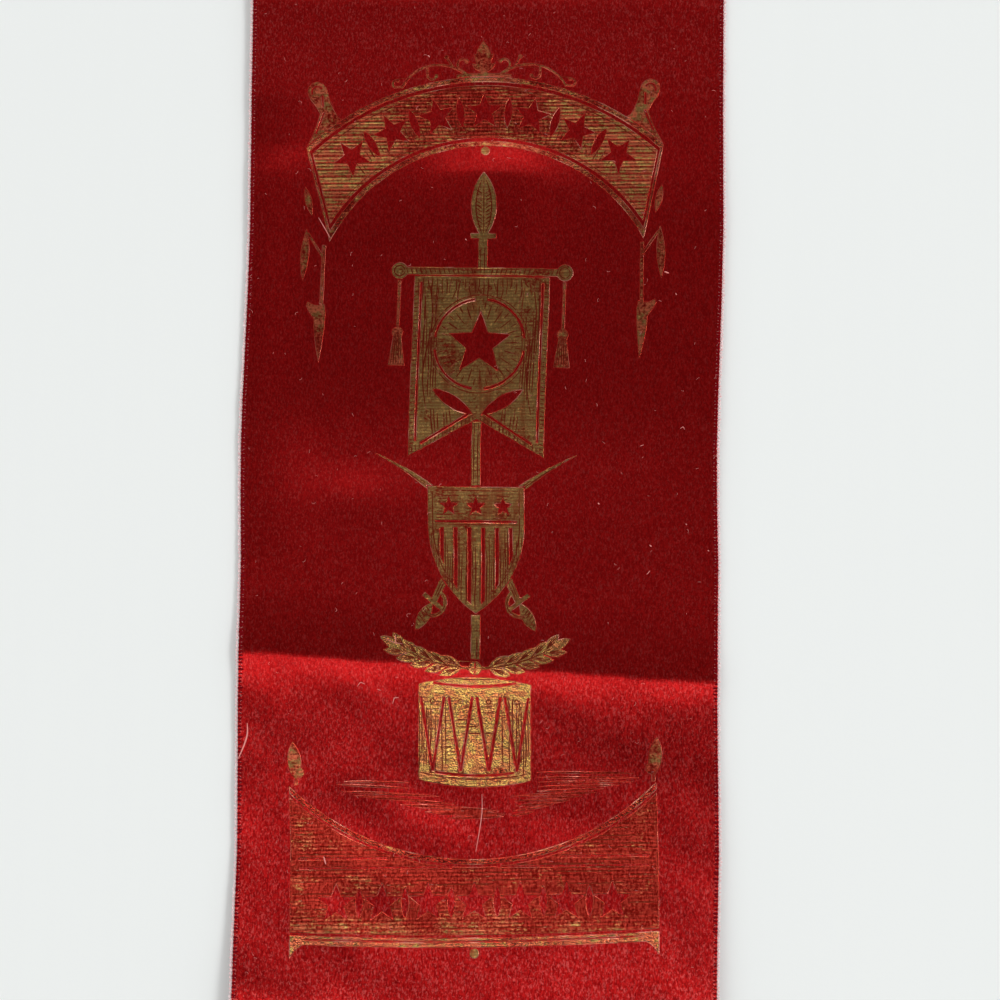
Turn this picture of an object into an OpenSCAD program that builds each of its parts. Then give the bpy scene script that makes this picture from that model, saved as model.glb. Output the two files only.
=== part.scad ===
// Veterans' ribbon badge, lying face up: a length of woven silk with a folded hem, a straight
// pin through the fold, and a stamped gold leaf design of arch, trophy of arms and tablet.
// Millimetres. X runs across the ribbon, Y along it towards the hem, Z up from the table.

/* [Ribbon] */
// Width across the two woven edges
ribbon_w = 63.5; // [60:0.5:72]
// Length from the folded hem to the cut end
ribbon_l = 178; // [174:1:180]
// Thickness of the silk wall
silk_t = 1; // [1:0.1:1.3]
// Turn of the crease and the waves below it, in degrees
crease_turn = -3; // [-5:0.5:0]
// Place of the crease along the ribbon, from the folded hem
crease_at = 114.6; // [112:0.2:117]

/* [Hem and pin] */
// Depth of the hem that is folded to the back
hem_d = 9; // [8:0.5:12]
// Radius of the pin's shaft
pin_r = 0.4; // [0.4:0.05:0.5]
// Gap between the pin and the silk folded round it
pin_gap = 0.15; // [0.1:0.05:0.2]
// Half of the pin's whole length
pin_half = 38; // [37.5:0.5:44]
// Radius of the pin's round head
head_r = 1; // [0.8:0.1:1.3]
// Radius of the drawn-down end in front of the point
point_r = 0.24; // [0.2:0.02:0.24]

/* [Gold leaf] */
// Thickness of the stamped leaf
leaf_t = 0.2; // [0.1:0.05:0.3]
// Gap that keeps the leaf clear of the silk and of other leaf
leaf_gap = 0.05; // [0.03:0.01:0.1]
// Width of a border line in the leaf
line_w = 0.65; // [0.4:0.05:0.8]
// Width of the bare silk left between a border line and its field
bare_w = 0.5; // [0.3:0.05:0.6]
// Distance by which the stamp sits to the left of the ribbon's middle
stamp_x = 0.4; // [0:0.1:0.8]
// Turn of the stamped arch and tablet against the ribbon, in degrees
stamp_turn = 1.5; // [0:0.5:2]

/* [Arch] */
// Radius of the arched band's outer edge
arch_r = 35; // [34:0.5:36]
// Height of the outer edge's centre above the middle of the ribbon
arch_y = 18.1; // [17.5:0.1:18.5]
// Radius of the arched band's inner edge
inner_r = 23.6; // [23:0.1:24]
// Height of the inner edge's centre above the middle of the ribbon
inner_y = 20.1; // [19.5:0.1:20.5]
// Half of the band's width at its upper corners
arch_half = 23.9; // [23:0.1:24.5]
// Number of stars along the band
arch_stars = 7; // [5:2:9]

/* [Trophy] */
// Half of the banner's width
banner_half = 9; // [8:0.5:10]
// Height of the crossbar that carries the banner
crossbar_y = 26; // [25:0.5:27]
// Length of the banner down to its points
banner_l = 24; // [22:0.5:24]
// Half of the shield's width
shield_half = 6.4; // [5.5:0.1:6.8]
// Half of the drum's width
drum_half = 7.4; // [6.5:0.1:8]
// Height of the ground on which the trophy stands, below the middle
ground_y = -42.4; // [-43:0.2:-42]

/* [Tablet] */
// Half of the tablet's width
tablet_half = 24.15; // [23:0.05:24.5]
// Height of the lower corners, below the middle of the ribbon
tablet_low = -61.7; // [-62.5:0.1:-61]
// Depth to which the lower edge sags in the middle
sag_d = 0.6; // [0:0.1:1]
// Height of the upper corners, below the middle of the ribbon
tablet_top = -41.25; // [-42:0.05:-41]
// Depth to which the upper edge hangs in the middle
swag_d = 9.75; // [8:0.05:10]
// Number of stars in the tablet
tablet_stars = 7; // [3:2:7]

/* [Hidden] */
$fn = 64;

silk_red = [0.52, 0.03, 0.04];
leaf_gold = [0.62, 0.47, 0.24];
worn_gold = [0.55, 0.28, 0.16];
pin_brass = [0.78, 0.64, 0.36];

top_y = ribbon_l / 2;
bore_r = pin_r + pin_gap;
fold_r = bore_r + silk_t;
stack_t = 2 * silk_t;
skirt_y = top_y - 5.5;
seam_at = 84;
seam_y = top_y - seam_at;
leaf_low = silk_t + leaf_gap;
leaf_high = leaf_low + leaf_t;
tall = 20;
overrun = 6;

// Columns of a wave table: place along the ribbon from its fold, lift of the underside,
// slope just before and just after the place, and flat facets up to the next place.
ALONG = 0;
LIFT = 1;
BEFORE = 2;
AFTER = 3;
FACETS = 4;
flat_at = 45;
crest_at = 160;
upper_wave = [
    [hem_d + 1, silk_t, 0, -0.02, 8],
    [flat_at, 0, -0.02, 0, 1],
    [seam_at, 0, 0, 0, 1]
];
lower_wave = [
    [seam_at - overrun, 0, 0, 0, 1],
    [crease_at, 0, 0, 0.075, 6],
    [148, 1.8, 0.05, 0.05, 3],
    [crest_at, 2.3, 0.025, -0.1, 6],
    [176, 0, -0.12, 0, 1],
    [ribbon_l + overrun, 0, 0, 0, 1]
];

// Lift between two rows of a wave table, at the share f of the way from a to b
function between(a, b, f) = let (reach = b[ALONG] - a[ALONG])
    (2 * f ^ 3 - 3 * f ^ 2 + 1) * a[LIFT] + (f ^ 3 - 2 * f ^ 2 + f) * reach * a[AFTER]
    + (3 * f ^ 2 - 2 * f ^ 3) * b[LIFT] + (f ^ 3 - f ^ 2) * reach * b[BEFORE];

// Places and lifts along a whole wave table
function wave_line(rows) = [
    for (i = [0 : len(rows) - 2], k = [0 : rows[i][FACETS] - 1])
        let (f = k / rows[i][FACETS])
        [top_y - rows[i][ALONG] - f * (rows[i + 1][ALONG] - rows[i][ALONG]),
         between(rows[i], rows[i + 1], f)],
    [top_y - rows[len(rows) - 1][ALONG], rows[len(rows) - 1][LIFT]]
];

function reversed(line) = [for (i = [len(line) - 1 : -1 : 0]) line[i]];

// Side view of the layer that lies from low to high above the wave's underside
module wave_side(rows, low, high) {
    line = wave_line(rows);
    polygon(concat(
        [for (p = line) [p[0], p[1] + low]],
        [for (p = reversed(line)) [p[0], p[1] + high]]
    ));
}

// Extrudes a side view drawn in Y and Z across the ribbon's width
module across(width) {
    rotate([90, 0, 90]) linear_extrude(width, center = true) children();
}

// The layer of a wave that is turned against the ribbon, about the middle of the seam
module turned_layer(rows, low, high) {
    translate([0, seam_y, 0]) rotate([0, 0, crease_turn]) translate([0, -seam_y, 0])
        across(ribbon_w + 4 * overrun) wave_side(rows, low, high);
}

module lower_layer(low, high) {
    intersection() {
        turned_layer(lower_wave, low, high);
        translate([-ribbon_w, seam_y - ribbon_l, -tall]) cube([2 * ribbon_w, ribbon_l, 2 * tall]);
    }
}

// Cuts the flat drawing that is its child out of the leaf layer over the upper silk
module upper_leaf() {
    intersection() {
        across(ribbon_w) wave_side(upper_wave, leaf_low, leaf_high);
        linear_extrude(tall) translate([-stamp_x, 0]) children();
    }
}

// The same over the turned waves of the lower silk
module lower_leaf() {
    intersection() {
        lower_layer(leaf_low, leaf_high);
        linear_extrude(tall) translate([-stamp_x, 0]) children();
    }
}

// The same over both, for a drawing that crosses the seam between them
module whole_leaf() {
    upper_leaf() children();
    lower_leaf() children();
}

module hem_side() {
    fold_y = top_y - fold_r;
    difference() {
        union() {
            translate([fold_y, fold_r]) circle(fold_r);
            polygon([
                [fold_y, 0], [fold_y, 2 * fold_r], [skirt_y, stack_t],
                [top_y - hem_d - 1, stack_t], [top_y - hem_d - 1, silk_t],
                [top_y - hem_d, silk_t], [top_y - hem_d, 0]
            ]);
        }
        translate([fold_y, fold_r]) circle(bore_r);
    }
}

function rows_of(rows, first, last) = [for (i = [first : last]) rows[i]];

// Trims turned silk to the woven edges and the cut end
module trimmed() {
    intersection() {
        children();
        translate([-ribbon_w / 2, -top_y, -tall]) cube([ribbon_w, ribbon_l, 2 * tall]);
    }
}

module ribbon_hem() {
    color(silk_red) across(ribbon_w) hem_side();
}

module ribbon_upper() {
    color(silk_red) across(ribbon_w) wave_side(rows_of(upper_wave, 0, 1), 0, silk_t);
}

// Flat silk between the upper wave and the crease
module ribbon_middle() {
    half = ribbon_w / 2;
    low = seam_y - (crease_at - seam_at) / cos(crease_turn);
    rise = half * tan(crease_turn);
    color(silk_red) linear_extrude(silk_t) polygon([
        [-half, top_y - flat_at], [half, top_y - flat_at], [half, low + rise], [-half, low - rise]
    ]);
}

module ribbon_lower() {
    color(silk_red) trimmed() turned_layer(rows_of(lower_wave, 1, 3), 0, silk_t);
}

module ribbon_end() {
    color(silk_red) trimmed() turned_layer(rows_of(lower_wave, 3, 5), 0, silk_t);
}

module pin() {
    neck_l = 0.6;
    point_l = 2;
    end_l = pin_half - point_l - neck_l - ribbon_w / 2;
    color(pin_brass) translate([0, top_y - fold_r, fold_r]) rotate([0, 90, 0]) union() {
        translate([0, 0, head_r - pin_half]) sphere(head_r);
        translate([0, 0, head_r - pin_half])
            cylinder(h = pin_half - head_r + ribbon_w / 2, r = pin_r);
        translate([0, 0, ribbon_w / 2]) cylinder(h = neck_l, r1 = pin_r, r2 = point_r);
        translate([0, 0, ribbon_w / 2 + neck_l]) cylinder(h = end_l, r = point_r);
        translate([0, 0, ribbon_w / 2 + neck_l + end_l])
            cylinder(h = point_l, r1 = point_r, r2 = 0.05);
    }
}

// Flat drawing aids

module mirrored() {
    children();
    mirror([1, 0]) children();
}

module star(r) {
    waist = 0.42;
    polygon([for (i = [0 : 9])
        let (reach = r * (i % 2 == 0 ? 1 : waist))
        [reach * sin(36 * i), reach * cos(36 * i)]]);
}

// Pointed leaf standing on the origin, its two sides circle arcs
module blade(long, wide) {
    r = (long ^ 2 + wide ^ 2) / (4 * wide);
    translate([0, long / 2]) intersection() {
        translate([r - wide / 2, 0]) circle(r);
        translate([wide / 2 - r, 0]) circle(r);
    }
}

// Part of a ring, from one angle to another that is at most 200 degrees further on
module bow(r, width, from, to) {
    reach = 2 * r;
    intersection() {
        difference() {
            circle(r + width / 2);
            circle(r - width / 2);
        }
        polygon([
            [0, 0], [reach * cos(from), reach * sin(from)],
            [reach * cos((from + to) / 2), reach * sin((from + to) / 2)],
            [reach * cos(to), reach * sin(to)]
        ]);
    }
}

// Straight stroke between two points
module stroke(a, b, width) {
    run = b - a;
    translate(a) rotate(atan2(run[1], run[0])) translate([0, -width / 2])
        square([norm(run), width]);
}

// Turns the flat drawing that is its child askew, about a place on the Y axis
module askew(y) {
    translate([0, y]) rotate(stamp_turn) translate([0, -y]) children();
}

// Arched band

band_lean = 6;
band_top = arch_y + sqrt(arch_r ^ 2 - arch_half ^ 2);
band_foot = arch_half - band_lean;
band_mid = (arch_y + arch_r + inner_y + inner_r) / 2;
end_line = 0.3;

// Everything between the two slanted ends of the band, drawn in by cut
module band_ends(cut) {
    polygon([
        [-band_foot + cut, arch_y], [-arch_half + cut, band_top],
        [-arch_half + cut, arch_y + arch_r], [arch_half - cut, arch_y + arch_r],
        [arch_half - cut, band_top], [band_foot - cut, arch_y]
    ]);
}

module band(cut, end_cut) {
    intersection() {
        difference() {
            translate([0, arch_y]) circle(arch_r - cut);
            translate([0, inner_y]) circle(inner_r + cut);
        }
        band_ends(end_cut);
    }
}

star_turn = 75 / (arch_stars - 1);
row_r = 29.3;

module arch_border() {
    color(leaf_gold) upper_leaf() askew(band_mid) difference() {
        band(0, 0);
        band(line_w, end_line);
    }
}

module arch_field() {
    color(leaf_gold) upper_leaf() askew(band_mid) difference() {
        band(line_w + bare_w, end_line + 0.35);
        translate([0, band_mid - row_r]) {
            for (i = [0 : arch_stars - 1])
                rotate((i - (arch_stars - 1) / 2) * star_turn) translate([0, row_r]) star(2.6);
            for (i = [0 : arch_stars - 2])
                rotate((i + 1 - arch_stars / 2) * star_turn) translate([0, row_r - 2.1])
                    blade(4.2, 1.1);
        }
    }
}

// Right half of the scrollwork on the band
module vine() {
    w = 0.32;
    translate([6.1, 49.3]) bow(5.5, w, 26, 134);
    stroke([2, 53.3], [3.2, 54.2], w);
    translate([2.8, 54.8]) {
        bow(0.72, w, -60, 140);
        rotate(140) translate([0.72, 0]) circle(w);
    }
    stroke([4.1, 54.3], [4.9, 55.8], w);
    translate([4.95, 55.85]) circle(w);
    stroke([7.6, 54.6], [7.55, 53.3], w);
    translate([6.95, 53.42]) {
        bow(0.6, w, 195, 355);
        rotate(195) translate([0.6, 0]) circle(0.9 * w);
    }
    stroke([10.8, 51.9], [11.9, 51.8], w);
    translate([11.75, 52.25]) {
        bow(0.5, w, -75, 110);
        rotate(110) translate([0.5, 0]) circle(0.85 * w);
    }
}

module arch_crest() {
    foot_y = 53.2;
    color(worn_gold) upper_leaf() askew(band_mid) difference() {
        union() {
            translate([0, arch_y]) bow(arch_r + 0.3, 0.5, 84, 96);
            translate([0, foot_y]) {
                blade(4.8, 2.1);
                circle(0.7);
                mirrored() {
                    translate([0, 1.5]) rotate(-40) blade(2, 0.8);
                    translate([0, 0.6]) rotate(-54) blade(1.9, 0.8);
                }
            }
            mirrored() vine();
        }
        translate([0, arch_y]) circle(arch_r + leaf_gap);
    }
}

module arch_drop() {
    color(leaf_gold) upper_leaf() askew(band_mid)
        translate([0, inner_y + inner_r - 0.75]) circle(0.62);
}

// Leaf that rises from the band's right corner and curls over at its head
module finial() {
    difference() {
        polygon([
            [23.8, 43.9], [23.1, 45.3], [22.45, 46.8], [22, 48.3], [22.55, 49.3],
            [23.25, 50.2], [23.65, 51.1], [23.55, 51.9], [23, 52.5], [22.3, 52.7],
            [21.6, 52.4], [21.1, 51.8], [20.85, 50.9], [20.6, 49.9], [20.2, 48.8],
            [19.6, 47.8], [18.8, 47.4], [18.8, 45], [22, 43]
        ]);
        translate([0, arch_y]) circle(arch_r + leaf_gap);
        translate([22.35, 51.3]) bow(0.7, 0.24, -30, 150);
        stroke([21.65, 50.8], [21.6, 49.2], 0.24);
        stroke([21.5, 48.4], [22.6, 45.6], 0.24);
    }
}

module finial_right() {
    color(leaf_gold) upper_leaf() askew(band_mid) finial();
}

module finial_left() {
    color(leaf_gold) upper_leaf() askew(band_mid) mirror([1, 0]) finial();
}

// Strap below the band's right foot, with two side leaves and a tassel
module husks() {
    stroke([0, 0], [0.1, -8.3], 0.45);
    stroke([2.2, 1.6], [0.1, -1.6], 0.3);
    translate([2.35, 2.2]) rotate(183) blade(7, 1.1);
    translate([1.75, 4]) rotate(-13) blade(3.9, 0.9);
    polygon([
        [-0.3, -7.9], [0.4, -8.1], [1.2, -8], [1.9, -7.6], [2.1, -8.2], [1.5, -9.2],
        [1, -9.9], [0.9, -11.5], [0.6, -13.5], [0.1, -15.7], [-0.2, -13.5], [-0.45, -11],
        [-0.5, -9]
    ]);
}

husk_x = 21.2;
husk_y = 30.5;
husk_rise = husk_x * tan(stamp_turn);

module husks_right() {
    color(worn_gold) upper_leaf() translate([husk_x, husk_y + husk_rise]) husks();
}

module husks_left() {
    color(worn_gold) upper_leaf() translate([-husk_x, husk_y - husk_rise])
        mirror([1, 0]) husks();
}

// Trophy of arms

staff_w = 1.2;
spear_y = 31;
tail_d = 5;
shield_top = -2;
shoulder = 5;
shield_r = 2.2 * shield_half;
shield_low = shield_top - shoulder - sqrt(shield_r ^ 2 - (shield_r - shield_half) ^ 2);
knot_y = -26;
drum_top = -28;
drum_low = ground_y + 1.6;

module spear() {
    stroke([0, crossbar_y + 1], [0, spear_y + 1], staff_w);
    translate([0, spear_y]) blade(9, 3.4);
    stroke([-1.7, spear_y + 0.4], [1.7, spear_y + 0.4], 0.7);
}

module crossbar() {
    bar_y = crossbar_y + 0.7;
    stroke([-banner_half - 2, bar_y], [banner_half + 2, bar_y], 1);
    mirrored() translate([banner_half + 2, bar_y]) circle(1.1);
}

module staff() {
    color(leaf_gold) whole_leaf() {
        spear();
        crossbar();
        stroke([0, shield_top + 0.2], [0, crossbar_y - banner_l + tail_d - 0.4], staff_w);
        stroke([0, knot_y + 1.2], [0, shield_low - 0.2], staff_w);
    }
}

module banner() {
    mid = crossbar_y - 9;
    low = crossbar_y - banner_l;
    color(leaf_gold) whole_leaf() difference() {
        polygon([
            [-banner_half, crossbar_y], [banner_half, crossbar_y],
            [banner_half, low], [0, low + tail_d], [-banner_half, low]
        ]);
        translate([0, mid]) star(4.4);
        for (turn = [0 : 90 : 270]) translate([0, mid]) bow(6, 0.3, turn + 8, turn + 82);
        mirrored() {
            stroke([banner_half - 0.9, low + 2], [banner_half - 0.9, crossbar_y - 0.8], 0.3);
            translate([0.6, mid - 9.4]) rotate(-58) blade(6.4, 1.6);
            stroke([0.9, low + tail_d + 0.8], [banner_half - 1.6, low + 1.7], 0.3);
        }
    }
}

// Cord and tassel that hang from an end of the crossbar
module tassel() {
    stroke([0, 0], [0, -7], 0.4);
    translate([0, -7]) circle(0.75);
    polygon([[-0.5, -7.4], [0.5, -7.4], [1.1, -11.4], [-1.1, -11.4]]);
}

module tassel_right() {
    color(worn_gold) upper_leaf() translate([banner_half + 2, crossbar_y - 0.6]) tassel();
}

module tassel_left() {
    color(worn_gold) upper_leaf() translate([-banner_half - 2, crossbar_y - 0.6]) tassel();
}

// Shield outline, drawn in by cut: straight shoulders over two arcs that meet in a point
module shield_outline(cut) {
    half = shield_half - cut;
    translate([-half, shield_top - shoulder]) square([2 * half, shoulder - cut]);
    intersection() {
        translate([half - shield_r, shield_top - shoulder]) circle(shield_r);
        translate([shield_r - half, shield_top - shoulder]) circle(shield_r);
        translate([-half, shield_low]) square([2 * half, shield_top - shoulder - shield_low]);
    }
}

module shield() {
    pitch = shield_half * 2 / 7;
    color(leaf_gold) lower_leaf() difference() {
        shield_outline(0);
        intersection() {
            shield_outline(1);
            union() {
                stroke([-shield_half, shield_top - 4.6], [shield_half, shield_top - 4.6], 0.3);
                for (i = [-2.5 : 2.5])
                    stroke([i * pitch, shield_low], [i * pitch, shield_top - 5.4], 0.5);
            }
        }
        for (i = [-1 : 1]) translate([i * 3.6, shield_top - 2.6]) star(1.3);
    }
}

// Sabre behind the shield, leaning to the right: a curved blade that narrows to its point,
// guard and grip. The blade lies between two circles that meet at the point.
sabre_lean = 38;
edge_r = 34;
back_r = 44;
blade_w = 1.2;

module sabre() {
    mirror([1, 0]) translate([0, -1]) difference() {
        intersection() {
            translate([blade_w / 2 - edge_r, 0]) circle(edge_r);
            translate([-edge_r, -10]) square(edge_r + blade_w);
        }
        translate([-blade_w / 2 - back_r, 0]) circle(back_r);
    }
    translate([1.2, -11]) {
        difference() {
            circle(2);
            circle(1.5);
            translate([-3, -4]) square([3, 8]);
        }
        rotate(188) blade(4.2, 1.6);
        stroke([-1.6, 0.2], [1.8, 0.2], 0.6);
    }
}

module sabre_right() {
    color(leaf_gold) whole_leaf() difference() {
        translate([0, shield_top - 6]) rotate(-sabre_lean) sabre();
        shield_outline(-0.15);
    }
}

module sabre_left() {
    color(leaf_gold) whole_leaf() mirror([1, 0]) difference() {
        translate([0, shield_top - 6]) rotate(-sabre_lean) sabre();
        shield_outline(-0.15);
    }
}

// Laurel branch: leaves in pairs along a bow that hangs from the knot and rises outwards
laurel_r = 20;
laurel_end = -62;

module laurel() {
    intersection() {
        translate([0, knot_y + laurel_r]) {
            bow(laurel_r, 0.4, -90, laurel_end + 2);
            for (turn = [-85 : 5.4 : laurel_end]) rotate(turn) translate([laurel_r, 0]) {
                rotate(-24) blade(3.2, 1.2);
                rotate(24) blade(3.2, 1.2);
            }
            rotate(laurel_end) translate([laurel_r, 0]) blade(3.6, 1.3);
            rotate(-90) translate([laurel_r, 0]) circle(0.9);
        }
        translate([leaf_gap, knot_y - laurel_r]) square([2 * laurel_r, 2 * laurel_r]);
    }
}

module laurel_right() {
    color(worn_gold) lower_leaf() laurel();
}

module laurel_left() {
    color(worn_gold) lower_leaf() mirror([1, 0]) laurel();
}

module drum() {
    round_r = 30;
    rim = 1.4;
    cords = 4;
    bay = 2 * drum_half / cords;
    color(leaf_gold) lower_leaf() difference() {
        intersection() {
            translate([-drum_half, drum_low - rim]) square([2 * drum_half, drum_top - drum_low + 2 * rim]);
            translate([0, drum_top + 0.8 - round_r]) circle(round_r);
            translate([0, drum_low - 0.8 + round_r]) circle(round_r);
        }
        translate([0, drum_top + rim - 0.2 + round_r]) bow(round_r + 1.6, 0.3, -100, -80);
        translate([0, drum_low + rim - 0.7 + round_r]) bow(round_r, 0.3, -100, -80);
        for (i = [0 : cords - 1]) {
            left = i * bay - drum_half;
            stroke([left + 0.3, drum_top - 1.8], [left + bay / 2, drum_low + 1.3], 0.35);
            stroke([left + bay / 2, drum_low + 1.3], [left + bay - 0.3, drum_top - 1.8], 0.35);
        }
    }
}

// Long shallow strokes of the ground, lying to the right of their left ends
module dash(long, wide) {
    polygon([
        [0, 0], [long * 0.2, wide / 2], [long * 0.8, wide / 2],
        [long, 0], [long * 0.8, -wide / 2], [long * 0.2, -wide / 2]
    ]);
}

ground_rows = [
    // left end, length, height above the ground line, width, turn
    [8.2, 12.8, 2.9, 0.3, 0],
    [8.2, 13.4, 2.2, 0.32, 0.5],
    [8.4, 12.4, 1.6, 0.28, 1],
    [8.4, 10.6, 1, 0.3, 2],
    [8.2, 8.8, 0.4, 0.3, 3],
    [5, 11, -0.3, 0.34, 3.5],
    [5.2, 9, -0.95, 0.3, 5],
    [5.2, 7.4, -1.6, 0.34, 7],
    [5, 5.4, -2.25, 0.3, 10],
    [4.8, 3, -2.9, 0.3, 12],
    [-17.2, 8.6, 1.3, 0.3, 0],
    [-18.2, 9.6, 0.9, 0.3, -2],
    [-17.6, 13, 0, 0.34, -2],
    [-16, 13.4, -0.5, 0.36, -4],
    [-9.8, 13, -1.6, 0.5, -3],
    [-6.6, 10.6, -2.5, 0.6, -1],
    [-3.6, 7.4, -3.3, 0.4, 3]
];

module ground() {
    color(worn_gold) lower_leaf() for (row = ground_rows)
        translate([row[0], ground_y + row[2]]) rotate(row[4]) dash(row[1], row[3]);
}

// Tablet with a hanging top edge and a lower edge that sags a little

swag_r = (tablet_half ^ 2 + swag_d ^ 2) / (2 * swag_d);
tablet_mid = -52;
foot_line = 1.2;

// Height of the sagging lower edge at a share of the tablet's half width
function low_edge(share) = tablet_low - sag_d * (1 - share ^ 2);

// Strip along the lower edge, from low to high above it
module low_strip(low, high, half) {
    line = [for (i = [-5 : 5]) [half * i / 5, low_edge(half * i / 5 / tablet_half)]];
    polygon(concat(
        [for (p = line) [p[0], p[1] + low]],
        [for (p = reversed(line)) [p[0], p[1] + high]]
    ));
}

// Tablet drawn in by a cut at its upper edge and one at its lower edge
module tablet_outline(top_cut, low_cut) {
    difference() {
        polygon(concat(
            [[tablet_half, tablet_top - top_cut], [-tablet_half, tablet_top - top_cut]],
            [for (i = [-5 : 5]) [tablet_half * i / 5, low_edge(i / 5) + low_cut]]
        ));
        translate([0, tablet_top + swag_r - swag_d]) circle(swag_r + top_cut);
    }
}

// Foot that flares down from the lower right corner
module tablet_foot() {
    difference() {
        translate([21.2, tablet_low - 1.9]) square([tablet_half - 21.2, 2.2]);
        translate([20.6, tablet_low - 3.6]) circle(3.98);
    }
}

module tablet_border() {
    color(leaf_gold) lower_leaf() askew(tablet_mid) {
        difference() {
            tablet_outline(0, 6);
            tablet_outline(line_w, 0);
        }
        difference() {
            union() {
                low_strip(0, foot_line, tablet_half);
                mirrored() tablet_foot();
            }
            low_strip(0.62, 0.82, tablet_half - 2);
        }
    }
}

module tablet_field() {
    gap = tablet_half * 2 / (tablet_stars + 1);
    star_y = -56.5;
    color(worn_gold) lower_leaf() askew(tablet_mid) difference() {
        tablet_outline(line_w + bare_w - 0.15, foot_line + bare_w - 0.15);
        for (i = [1 : tablet_stars]) translate([i * gap - tablet_half, star_y]) star(2.6);
        for (i = [1 : tablet_stars - 1]) translate([(i + 0.5) * gap - tablet_half, star_y - 2])
            blade(4, 1);
        mirrored() {
            stroke([11.5, -50.7], [23, -50.7], 0.25);
            stroke([3, -51.95], [23, -51.95], 0.25);
        }
    }
}

// Slender bud on a corner, leaning out to the right
module tablet_bud() {
    stroke([0, -0.6], [0, 0.4], 0.5);
    rotate(-6) blade(5.2, 1.8);
    translate([-0.25, 1.1]) circle(0.75);
}

bud_x = 23.5;
bud_y = -40.5;
bud_rise = bud_x * tan(stamp_turn);

module tablet_bud_right() {
    color(worn_gold) lower_leaf() translate([bud_x, bud_y + bud_rise]) tablet_bud();
}

module tablet_bud_left() {
    color(worn_gold) lower_leaf() translate([-bud_x, bud_y - bud_rise])
        mirror([1, 0]) tablet_bud();
}

module tablet_drop() {
    color(worn_gold) lower_leaf() askew(tablet_mid)
        translate([0, tablet_low - sag_d - 0.8]) circle(0.64);
}

ribbon_hem();
ribbon_upper();
ribbon_middle();
ribbon_lower();
ribbon_end();
pin();
arch_border();
arch_field();
arch_crest();
arch_drop();
finial_left();
finial_right();
husks_left();
husks_right();
staff();
banner();
tassel_left();
tassel_right();
shield();
sabre_left();
sabre_right();
laurel_left();
laurel_right();
drum();
ground();
tablet_border();
tablet_field();
tablet_bud_left();
tablet_bud_right();
tablet_drop();
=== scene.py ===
import math

import bpy
import numpy as np
from mathutils import Matrix, Vector


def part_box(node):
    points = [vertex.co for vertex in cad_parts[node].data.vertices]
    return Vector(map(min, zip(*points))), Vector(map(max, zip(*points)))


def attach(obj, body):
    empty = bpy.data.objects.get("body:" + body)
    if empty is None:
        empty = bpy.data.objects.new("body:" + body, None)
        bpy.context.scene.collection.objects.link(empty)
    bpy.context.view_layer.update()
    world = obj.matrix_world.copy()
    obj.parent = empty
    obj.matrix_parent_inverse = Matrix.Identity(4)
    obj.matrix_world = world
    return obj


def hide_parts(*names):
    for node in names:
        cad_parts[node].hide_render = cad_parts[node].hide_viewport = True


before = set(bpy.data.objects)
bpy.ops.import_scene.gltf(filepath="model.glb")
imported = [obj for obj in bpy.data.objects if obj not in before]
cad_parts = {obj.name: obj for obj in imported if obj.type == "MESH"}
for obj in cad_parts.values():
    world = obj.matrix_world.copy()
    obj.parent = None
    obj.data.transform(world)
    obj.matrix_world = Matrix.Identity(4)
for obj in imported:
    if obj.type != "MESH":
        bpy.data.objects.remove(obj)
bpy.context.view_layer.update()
mm = 0.001
dice = np.random.default_rng(1887)  # one seed, so that every run is the same

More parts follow.
